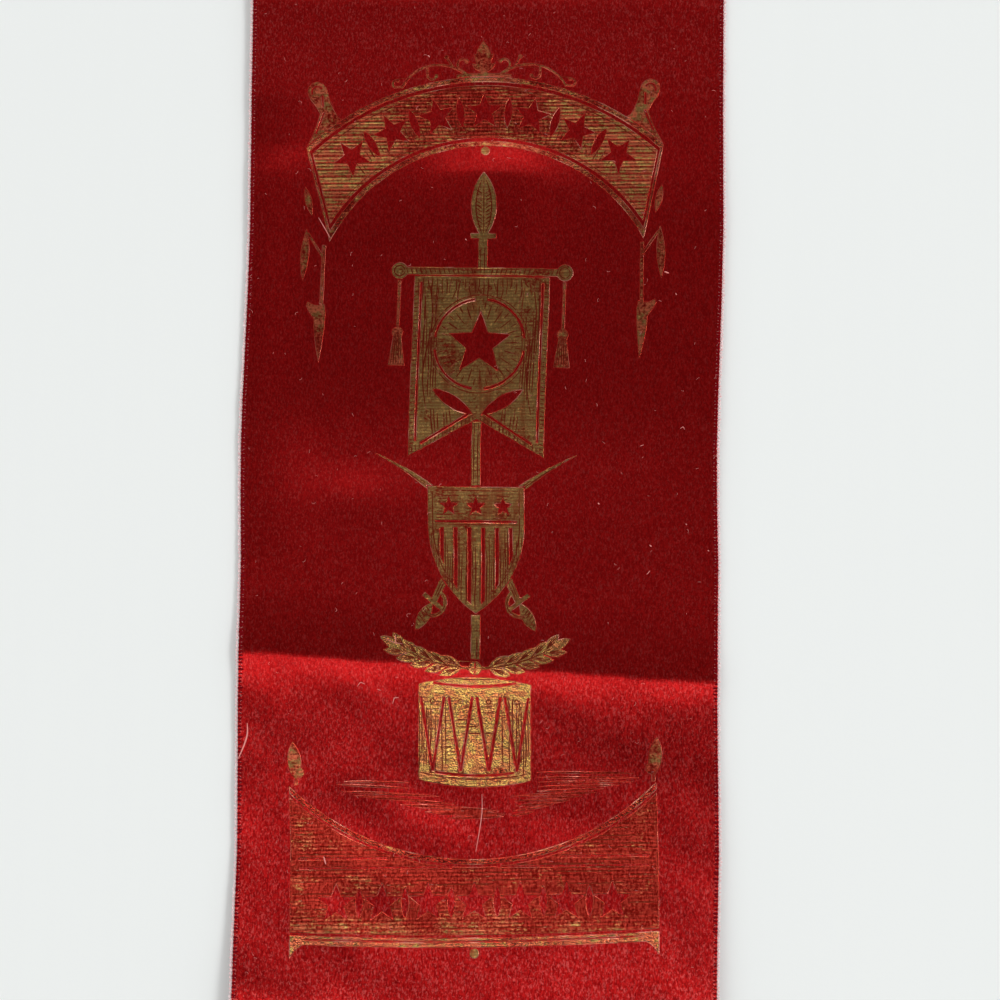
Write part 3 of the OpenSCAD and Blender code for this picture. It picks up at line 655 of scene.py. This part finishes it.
def tube(line, radii, sides):
    # a round thread along a line, with its own thickness at each place
    line = np.asarray(line, float)
    way = np.gradient(line, axis=0)
    way /= np.linalg.norm(way, axis=1)[:, None] + 1e-9
    side = np.cross(way, [0.0, 0.0, 1.0])
    side /= np.linalg.norm(side, axis=1)[:, None] + 1e-9
    over = np.cross(side, way)
    points, faces = [], []
    for centre, across, up, radius in zip(line, side, over, radii):
        for j in range(sides):
            a = math.tau * j / sides
            points.append(tuple(centre + radius * (math.cos(a) * across + math.sin(a) * up)))
    for k in range(len(line) - 1):
        for j in range(sides):
            a, b = k * sides + j, k * sides + (j + 1) % sides
            faces.append((a, b, b + sides, a + sides))
    last = (len(line) - 1) * sides
    faces.append(tuple(range(sides - 1, -1, -1)))
    faces.append(tuple(range(last, last + sides)))
    return points, faces


def selvedgeHeight(sign, y):
    s = ribbon
    overPin = np.clip((y - (s["top"] - 5.5)) / 4, 0, 1)
    return underside(sign * s["half"] + 0 * y, y) + overPin**1.5 * 1.0 + s["thick"] / 2


def makeSelvedges():
    # looped picots along both woven edges, the fine hairs that stand out from them, and short dark ticks
    # sunk into the silk just inside each edge, one for each loop
    s = selvedge
    look = Look("picots")
    fleck = look.ramp(look.noise((1.5, 6.0, 5.0), detail=2), 0.40, 0.66)
    fringe = look.wear(BaseColor=look.blend(fleck, s["fringe"], s["pale"]), Metallic=0.0, Roughness=0.8)
    look = Look("stray_hair")
    stray = look.wear(BaseColor=s["stray"], Metallic=0.0, Roughness=0.8, SpecularIORLevel=0.1)
    look = Look("edge_dark_ticks")
    tick = look.wear(BaseColor=s["dark"], Metallic=0.0, Roughness=0.8, SpecularIORLevel=0.0)
    made = []
    for sign, side in ((-1, "left"), (1, "right")):
        loops, hairs, ticks = [], [], []
        for y in np.arange(ribbon["end"] + 0.4, ribbon["top"] - 1.4, s["pitch"]):
            size = s["reach"] * (1 + dice.normal(0, 0.10))
            place = y + dice.normal(0, 0.03)
            turn = np.linspace(0, math.pi, s["bends"] + 1)
            along = place + s["pitch"] * s["wide"] * np.cos(turn)
            out = sign * (ribbon["half"] - s["root"] + size * np.sin(turn)) + sideways(along)
            line = np.stack([out, along, selvedgeHeight(sign, along)], axis=1)
            loops.append(tube(line, [s["thick"]] * len(line), s["sides"]))
            out = np.linspace(*s["tick"], 4) * dice.uniform(0.6, 1.2)
            out = sign * (ribbon["half"] - out) + sideways(place)
            along = place + s["tickShift"] + dice.normal(0, 0.06) + np.linspace(dice.normal(0, 0.1), 0, 4)
            high = silkTop(out, along) - s["tickDeep"]
            girth = s["tickThick"] * dice.uniform(0.75, 1.0) * np.array([0.7, 1, 1, 0.9])
            ticks.append(tube(np.stack([out, along, high], axis=1), girth, 8))
            reach = dice.uniform(*s["hair"])
            lean = dice.normal(0, 0.6)
            share = np.linspace(0, 1, 4)
            out = sign * (ribbon["half"] - s["hairRoot"] + reach * share)
            along = place + dice.normal(0, 0.09) + reach * (lean * share + dice.normal(0, 0.4) * share**2)
            high = selvedgeHeight(sign, along) + ribbon["thick"] * (0.5 - 0.4 * share) + 0.04
            hairs.append(tube(np.stack([out + sideways(along), along, high], axis=1),
                              s["hairThick"] * (1.1 - share * 0.7), 3))
        made.append(makePiece("picots_" + side, *gather(loops), fringe, "silk"))
        made.append(makePiece("edge_hairs_" + side, *gather(hairs), stray, "silk"))
        made.append(makePiece("edge_dark_ticks_" + side, *gather(ticks), tick, "silk"))
    return made


# Engraved lines, in the millimetres of the stamp's drawing, which lies shiftX off the middle
engraving = {
    "shiftX": -0.4,
    "step": 0.16,
    "wide": 0.085,
    "high": 0.014,
    "colour": (0.25, 0.024, 0.010, 1),
    "spark": (0.75, 0.30, 0.16, 1),
}


def arc(centreX, centreY, radius, start, end, count):
    turn = np.radians(np.linspace(start, end, count))
    return [(centreX + radius * math.cos(a), centreY + radius * math.sin(a)) for a in turn]


def askew(line, middle):
    # turned as the stamped arch and tablet are
    a = math.atan(leaf["lean"])
    return [(x * math.cos(a) - (y - middle) * math.sin(a),
             middle + x * math.sin(a) + (y - middle) * math.cos(a)) for x, y in line]


def hatching(low, high, gap, lean=0.0, keep=0.8):
    # upright strokes over a box, some left out and each of its own length
    made = []
    for x in np.arange(low[0], high[0], gap):
        if dice.uniform() > keep:
            continue
        first, last = np.sort(dice.uniform(0, 1, 2)) * 0.4 + np.array([0.0, 0.6])
        y = low[1] + (high[1] - low[1]) * np.linspace(first, last, 6)
        made.append([(x + lean * (b - low[1]) + dice.normal(0, 0.03), b) for b in y])
    return made


def bannerLines():
    made = []
    for x in np.arange(-8.4, 8.5, 0.62):  # gathers under the crossbar
        deep = dice.uniform(0.9, 3.4)
        made.append([(x, 25.7), (x + dice.normal(0, 0.12), 25.7 - deep / 2),
                     (x + dice.normal(0, 0.2), 25.7 - deep)])
    for side in (-1, 1):
        for y in np.arange(2.6, 25.6, 0.55):  # fringe
            made.append([(side * 8.35, y), (side * 8.98, y - 0.12)])
        for x in np.arange(0.5, 8.8, 0.5):
            low = 7 - x * 5 / 9
            made.append([(side * x, low + 0.1), (side * x, low + 0.85)])
        for start, deep, bend in ((6.9, 17, 0.5), (5.7, 6.5, -0.3), (7.6, 9, 0.2)):  # folds
            y = 24.6 - np.linspace(0, 1, 12) * deep
            made.append([(side * start + bend * math.sin((24.6 - b) * 0.4), b) for b in y])
        made += hatching((side * 6.4 - 0.9, 9.5), (side * 6.4 + 0.9, 22.5), 0.34,
                         lean=0.02 * side, keep=0.9)
        made += hatching((side * 4.6 - 1.6, 4.2), (side * 4.6 + 1.6, 8.8), 0.42, lean=0.1 * side)
    for turn in range(0, 360, 9):  # rays round the star
        near, far = (4.7, 5.6) if turn % 18 else (3.4, 5.3)
        a = math.radians(turn + 3)
        made.append([(r * math.cos(a), 17 + r * math.sin(a)) for r in (near, far)])
    made.append(arc(0, 17, 6.55, 0, 360, 60))
    return made


def shieldLines():
    made = [[(-5.6, -2.5), (5.6, -2.5)], [(-5.6, -7.0), (5.6, -7.0)]]
    for side in (-1, 1):
        start, end = (0, -42) if side > 0 else (180, 222)
        made.append([(side * 5.75, y) for y in np.linspace(-2.6, -7, 8)]
                    + arc(side * (5.75 - 13.4), -7, 13.4, start, end, 18))
    for row in np.arange(-3.2, -6.3, -0.42):
        for start in (-5.3, -1.4, 2.2):
            x = start + dice.uniform(0, 0.6)
            made.append([(x, row), (x + dice.uniform(1.2, 3.0), row + dice.normal(0, 0.02))])
    for i in range(-3, 4):
        made += hatching((i * 1.83 - 0.45, -19.5), (i * 1.83 + 0.5, -7.6), 0.31, keep=0.75)
    return made


def drumLines():
    hoops = ((2.0, 28.9), (2.0, 29.5), (-10.9, 31.3), (-10.4, 30.2))
    made = [arc(0, middle, radius, -104, -76, 24) for middle, radius in hoops]
    for side in (-1, 1):
        made += hatching((side * 6.4 - 0.85, -40.2), (side * 6.4 + 0.85, -29.6), 0.3, keep=0.95)
        made += hatching((side * 4.2 - 1.0, -40.2), (side * 4.2 + 1.0, -29.6), 0.45, keep=0.7)
    for row in np.arange(-31.0, -39.8, -0.9):
        x = dice.uniform(-5.5, 1.5)
        made.append([(x, row), (x + dice.uniform(1.5, 5.0), row + 0.05)])
    for i in range(4):
        left = i * 3.7 - 7.4
        made.append(arc(left + 1.85, -39.4, 0.42, 0, 360, 12))
        made.append(arc(left + 1.85, -30.4, 0.30, 0, 360, 10))
    return made


def laurelLines(side):
    made = [[(side * p[0], p[1]) for p in arc(0, -6, 20, -90, -60, 24)]]
    for turn in np.arange(-85, -61, 5.4):
        a = math.radians(turn)
        foot = np.array([20 * math.cos(a), -6 + 20 * math.sin(a)])
        for splay in (-24, 24):
            b = math.radians(turn + splay)
            way = np.array([-math.sin(b), math.cos(b)])
            across = np.array([way[1], -way[0]])
            for begin, reach, off in ((0.2, 2.9, 0.0), (0.9, 2.2, 0.26), (0.9, 2.2, -0.26)):
                p, q = foot + way * begin + across * off * 0.3, foot + way * reach + across * off
                made.append([(side * p[0], p[1]), (side * q[0], q[1])])
    return made


def sabreLines(side):
    a = math.radians(-38)
    made = []

    def put(line):
        made.append([(side * (x * math.cos(a) - y * math.sin(a)), -8 + x * math.sin(a) + y * math.cos(a))
                     for x, y in line])

    put([(y * y / 72.4 + 0.12, y - 1) for y in np.linspace(-9, 15, 40)])
    put([(y * y / 66 - 0.28, y - 1) for y in np.linspace(-9, 11, 36)])
    for k in range(7):  # wire round the grip
        t = -11.8 - 0.48 * k
        put([(0.62, t), (1.7, t - 0.3)])
    put(arc(1.2, -11, 1.75, -150, 80, 18))
    return made


def staffLines():
    made = [[(-0.28, 30), (-0.28, -2)], [(0.25, 30), (0.25, -2)],
            [(-0.28, -24), (-0.28, -26)], [(0.2, -22), (0.2, -26)], [(0, 31.8), (0, 39.4)]]
    for side in (-1, 1):
        made.append([(side * (1.05 * math.sin(math.pi * t) ** 0.8), 31.4 + 8.0 * t)
                     for t in np.linspace(0.06, 0.95, 14)])
        made += [[(side * 0.25, y), (side * 1.0, y + 0.5)] for y in np.arange(32.6, 37.6, 0.5)]
        made.append(arc(side * 11, 26.7, 0.72, 0, 360, 14))
        made += [[(side * x, 26.3), (side * (x + 0.25), 27.15)] for x in np.arange(1.2, 9.9, 0.62)]
    made.append([(-9.8, 26.95), (9.8, 26.95)])
    return made


def tasselLines(side):
    return [[(side * 11 + x * 0.5, 18.2), (side * 11 + x, 14.2)]
            for x in (-0.75, -0.4, -0.05, 0.3, 0.65)]


def archLines():
    made = [askew(arc(0, 18.1, 33.35, 47, 133, 90), 48.4),
            askew(arc(0, 20.1, 25.15, 28, 152, 90), 48.4)]
    for k in range(-28, 29):  # short shading strokes between the stars
        turn = math.radians(90 + k * 1.35 + dice.normal(0, 0.15))
        inner = dice.uniform(26.4, 27.6)
        ends = (inner, inner + dice.uniform(0.6, 2.2))
        made.append(askew([(r * math.cos(turn), 19.1 + r * math.sin(turn)) for r in ends], 48.4))
    return made


def tabletLines():
    made = []
    for row in np.arange(-43.5, -60, -0.51):
        x = -23.4
        while x < 22:
            reach = dice.uniform(1.0, 9.0)
            if dice.uniform() < 0.33:
                middle = (x + reach / 2, row + dice.normal(0, 0.03))
                made.append(askew([(x, row), middle, (x + reach, row)], -52))
            x += reach + dice.uniform(0.4, 3.0)
    return made


def inside(ends, x, y):
    return np.array([(crossings(ends, py) > px).sum() % 2 == 1 for px, py in zip(x, y)])


def engrave(node, lines, material):
    # the parts of the lines that lie on the leaf, as low welts of bare silk
    s = engraving
    points, edges = leafEdges(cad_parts[node])
    ends = points[np.array(edges)]
    made = []
    for line in lines:
        line = np.asarray(line, float)
        line[:, 0] += s["shiftX"]
        total = np.concatenate([[0], np.cumsum(np.linalg.norm(np.diff(line, axis=0), axis=1))])
        spots = np.linspace(0, total[-1], max(3, int(total[-1] / s["step"]) + 1))
        x, y = np.interp(spots, total, line[:, 0]), np.interp(spots, total, line[:, 1])
        held = inside(ends, x, y)
        cuts = np.flatnonzero(np.diff(np.concatenate([[0], held.astype(int), [0]])))
        for start, stop in zip(cuts[::2], cuts[1::2]):
            if stop - start < 3:
                continue
            half = s["wide"] * dice.uniform(0.7, 1.2)
            edge = leaf["lift"] + 0.004

            def left(share, half=half):
                return half * np.sin(np.pi * (0.12 + 0.8 * share)) ** 0.5

            def right(share, half=half):
                return -left(share, half)

            profile = [(right, edge), (0.0, edge + s["high"]), (left, edge)]
            stroke = np.stack([x[start:stop], y[start:stop]], axis=1)
            made.append(strip(stroke, False, profile, s["step"] * 1.5))
    makePiece("lines_" + node, *gather(made), material, "silk")


def makeEngraving():
    s = engraving
    look = Look("engraved_silk")
    fleck = look.ramp(look.noise((1.6, 1.6, 2.0), detail=3, rough=0.6), 0.56, 0.68)
    welt = look.wear(BaseColor=look.blend(fleck * 0.6, s["colour"], s["spark"]), Metallic=0.9,
                     Roughness=0.32, SpecularIORLevel=0.3)
    sets = {
        "banner": bannerLines(), "shield": shieldLines(), "drum": drumLines(), "staff": staffLines(),
        "laurel_left": laurelLines(-1), "laurel_right": laurelLines(1),
        "sabre_left": sabreLines(-1), "sabre_right": sabreLines(1),
        "tassel_left": tasselLines(-1), "tassel_right": tasselLines(1),
        "arch_field": archLines(), "tablet_field": tabletLines(),
    }
    for node, lines in sets.items():
        engrave(node, lines, welt)


# Lint and loose fibres on the silk: points along each, and its thickness
lint = {
    "threads": [
        ([(-30.6, -33.6), (-30.5, -35.0), (-30.9, -36.4), (-31.7, -38.3)], 0.11),
        ([(0.45, -42.5), (0.55, -44.6), (0.25, -47.0), (-0.25, -50.0)], 0.06),
        ([(23.8, 27.1), (24.4, 26.9)], 0.10), ([(15.3, -3.9), (15.5, -4.1)], 0.10),
        ([(22.2, -9.4), (22.5, -9.6)], 0.08), ([(27.0, -6.5), (27.1, -6.7)], 0.06),
        ([(29.9, -10.0), (30.1, -10.1)], 0.07), ([(20.8, 3.7), (21.3, 3.9)], 0.05),
        ([(26.1, 6.1), (26.5, 6.4), (26.7, 6.0)], 0.04), ([(21.9, -13.3), (22.3, -12.8)], 0.05),
        ([(-22.4, 33.6), (-21.6, 32.3), (-20.8, 30.9)], 0.05),
        ([(-12.6, -22.2), (-11.4, -22.8), (-10.3, -22.9)], 0.035),
        ([(-11.3, -21.7), (-11.2, -23.0)], 0.045),
        ([(-16.2, -28.6), (-15.8, -28.0), (-15.2, -28.3)], 0.05),
        ([(-13.6, -28.9), (-13.1, -29.1)], 0.045),
        ([(-11.5, -30.8), (-11.3, -30.0), (-10.7, -30.0)], 0.06),
        ([(-20.2, -50.9), (-19.9, -51.9)], 0.10),
        ([(-8.2, 55.9), (-7.95, 55.7)], 0.09), ([(25.3, 24.2), (25.5, 24.0)], 0.06),
        ([(-2.8, 31.0), (-2.6, 30.8)], 0.05),
    ],
    "loose": 300,
    "reach": (0.15, 0.55),
    "thick": 0.022,
    "colour": (0.80, 0.27, 0.24, 1),
}


def makeLint():
    s = lint
    look = Look("lint")
    pale = look.wear(BaseColor=s["colour"], Metallic=0.0, Roughness=0.6)
    made = []
    for line, thick in s["threads"]:
        line = np.array(line)
        share = np.linspace(0, 1, len(line))
        fine = np.linspace(0, 1, 5 if len(line) < 3 else 14)
        x, y = np.interp(fine, share, line[:, 0]), np.interp(fine, share, line[:, 1])
        for _ in range(3):
            x[1:-1], y[1:-1] = (x[:-2] + 2 * x[1:-1] + x[2:]) / 4, (y[:-2] + 2 * y[1:-1] + y[2:]) / 4
        made.append(tube(np.stack([x, y, silkTop(x, y) + 0.05 + thick * 0.7], axis=1),
                         thick * (0.5 + 0.5 * np.sin(np.pi * fine)), 5))
    for _ in range(s["loose"]):
        x = dice.uniform(-ribbon["half"] + 0.5, ribbon["half"] - 0.5)
        y = dice.uniform(ribbon["end"] + 1, ribbon["top"] - ribbon["hem"])
        reach, way, bend = dice.uniform(*s["reach"]), dice.uniform(0, math.tau), dice.normal(0, 0.9)
        share = np.linspace(0, 1, 5)
        lineX = x + reach * share * np.cos(way + bend * share)
        lineY = y + reach * share * np.sin(way + bend * share)
        high = silkTop(lineX, lineY) + 0.035 + 0.03 * np.sin(np.pi * share)
        path = np.stack([lineX + sideways(lineY), lineY, high], axis=1)
        made.append(tube(path, [s["thick"]] * len(path), 3))
    makePiece("lint", *gather(made), pale, "silk")


sewing = {
    "gap": 2.3, "long": 1.3, "thick": 0.13, "inset": 1.5,
    "threads": 170, "frayed": (0.4, 2.2), "frayThick": 0.045,
    "colour": (0.34, 0.012, 0.016, 1),
    "sheen": (0.62, 0.05, 0.05, 1),
}


def makeSewing():
    # stitches along the hem, and warp threads that stand out of the cut end
    s = sewing
    look = Look("sewing_thread")
    twist = look.noise((5.0, 3.0, 3.0), detail=1)
    thread = look.wear(BaseColor=look.blend(look.ramp(twist, 0.4, 0.6), s["colour"], s["sheen"]),
                       Metallic=0.5, Roughness=0.45)
    stitches, frayed = [], []
    share = np.linspace(0, 1, 7)
    y = ribbon["top"] - ribbon["hem"] + s["inset"]
    for x in np.arange(-ribbon["half"] + 1.6, ribbon["half"] - 1.6, s["gap"]):
        line = x + s["long"] * share
        high = ribbon["thick"] * 2 + 0.03 + 0.05 * np.sin(np.pi * share)
        path = np.stack([line + sideways(y), y + dice.normal(0, 0.05) + 0 * share, high - 0.02], axis=1)
        stitches.append(tube(path, s["thick"] * (0.55 + 0.45 * np.sin(np.pi * share)), 6))
    for x in np.linspace(-ribbon["half"] + 0.1, ribbon["half"] - 0.1, s["threads"]):
        reach = dice.uniform(*s["frayed"]) * dice.uniform(0.3, 1)
        drift = dice.normal(0, 0.35) * share**2
        along = ribbon["end"] + 0.3 - (reach + 0.3) * share
        high = (underside(x, ribbon["end"]) + ribbon["thick"] * 0.5) * (1 - share * 0.8) + 0.05
        frayed.append(tube(np.stack([x + drift + sideways(ribbon["end"]), along, high], axis=1),
                           s["frayThick"] * (1 - 0.4 * share), 4))
    makePiece("hem_stitches", *gather(stitches), thread, "silk")
    makePiece("frayed_end", *gather(frayed), thread, "silk")


pin = {
    "dull": (0.40, 0.24, 0.06, 1),
    "bright": (0.75, 0.55, 0.19, 1),
    "roughness": (0.20, 0.45),
    "depth": 0.02,
    "strength": 0.3,
}


def dressPin():
    # brass, a little smeared along the shaft
    s = pin
    look = Look("brass_pin")
    smear = look.noise((1.5, 4, 4), detail=3)
    low, high = s["roughness"]
    look.wear(BaseColor=look.blend(smear, s["dull"], s["bright"]), Metallic=1.0,
              Roughness=low + smear * (high - low), Normal=look.bump(smear, s["depth"], s["strength"]))
    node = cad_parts["pin"]
    node.data.materials.clear()
    node.data.materials.append(look.holder)


# Floor, lights and camera
stage = {
    "floor": (0.90, 0.915, 0.905, 1),
    "half": 3.0,          # metres from the middle of the floor to its sides
    "front": {"place": (-0.19, -0.23, 0.80), "aim": -0.19, "size": (0.76, 0.05), "shine": 6.3},
    "rear": {"place": (-0.19, 0.45, 0.80), "aim": -0.19, "size": (0.76, 0.10), "shine": 1.25},
    "side": {"place": (2.0, 0.0, 1.81), "aim": 0.0, "size": (0.75, 0.75), "shine": 12.5},
    "room": (0.985, 1.0, 0.995, 1),
    "ring": 1.0,          # brightness of the room away from its zenith
    "ceiling": 0.05,      # and straight above
    "ringRange": (0.84, 0.72),
}
camera = {
    "target": (2.30, -3.67, 0.0),
    "distance": 250.0,
    "lean": 3.01,       # degrees off straight down, towards the cut end
    "roll": 0.786,
    "across": 133.07,   # millimetres across the picture at that distance
    "film": 36.0,
    "clip": (0.01, 20.0),
}


def makeStage():
    s = stage
    look = Look("paper")
    grain = look.noise((1.5, 1.5, 1.5), detail=3)
    ridge = look.noise((0.16, 0.004, 0.1), detail=2)
    look.wear(BaseColor=s["floor"], Roughness=0.85, SpecularIORLevel=0.2,
              Normal=look.bump(grain * 0.06 + ridge * 0.8, 0.12))
    size = s["half"]
    mesh = bpy.data.meshes.new("floor")
    mesh.from_pydata([(-size, -size, 0), (size, -size, 0), (size, size, 0), (-size, size, 0)], [],
                     [(0, 1, 2, 3)])
    mesh.materials.append(look.holder)
    floor = bpy.data.objects.new("floor", mesh)
    bpy.context.scene.collection.objects.link(floor)
    for name in ("front", "rear", "side"):
        setup = s[name]
        light = bpy.data.lights.new(name, "AREA")
        light.shape = "RECTANGLE"
        light.size, light.size_y = setup["size"]
        light.energy = setup["shine"] * math.pi * light.size * light.size_y
        lamp = bpy.data.objects.new(name, light)
        lamp.location = setup["place"]
        way = Vector((setup["aim"], 0, 0)) - Vector(setup["place"])
        lamp.rotation_euler = way.to_track_quat("-Z", "Y").to_euler()
        bpy.context.scene.collection.objects.link(lamp)
    room = Look("room", bpy.data.worlds.new("room"))
    up = room.add("ShaderNodeSeparateXYZ", {}, {0: room.add("ShaderNodeTexCoord", output=0)}, output=2)
    low = room.ramp(up, s["ringRange"][1], s["ringRange"][0])
    room.wear(Color=s["room"], Strength=s["ring"] + low * (s["ceiling"] - s["ring"]))
    bpy.context.scene.world = room.holder
    bpy.context.scene.view_settings.view_transform = "Standard"
    bpy.context.scene.view_settings.look = "None"


def makeCamera():
    s = camera
    data = bpy.data.cameras.new("camera")
    data.sensor_width = s["film"]
    data.lens = s["film"] * s["distance"] / s["across"]
    data.clip_start, data.clip_end = s["clip"]
    eye = bpy.data.objects.new("camera", data)
    lean, roll = math.radians(s["lean"]), math.radians(s["roll"])
    back = Vector((0, -math.sin(lean), math.cos(lean)))
    up = Vector((-math.sin(roll), math.cos(roll), 0))
    right = up.cross(back).normalized()
    up = back.cross(right)
    turn = Matrix((right, up, back)).transposed().to_4x4()
    place = Vector(s["target"]) * mm + back * s["distance"] * mm
    eye.matrix_world = Matrix.Translation(place) @ turn
    bpy.context.scene.collection.objects.link(eye)
    bpy.context.scene.camera = eye


makeStage()
makeCamera()
print("stage and camera made")
cloth = makeRibbon(silkLook("silk_satin"))
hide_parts(*silkNodes)
print("ribbon made")
picots = makeSelvedges()
print("picots made")
makeLeaf()
print("leaf made")
makeEngraving()
print("engraving made")
makeLint()
makeSewing()
print("lint and sewing made")

dressPin()
print("pin dressed")
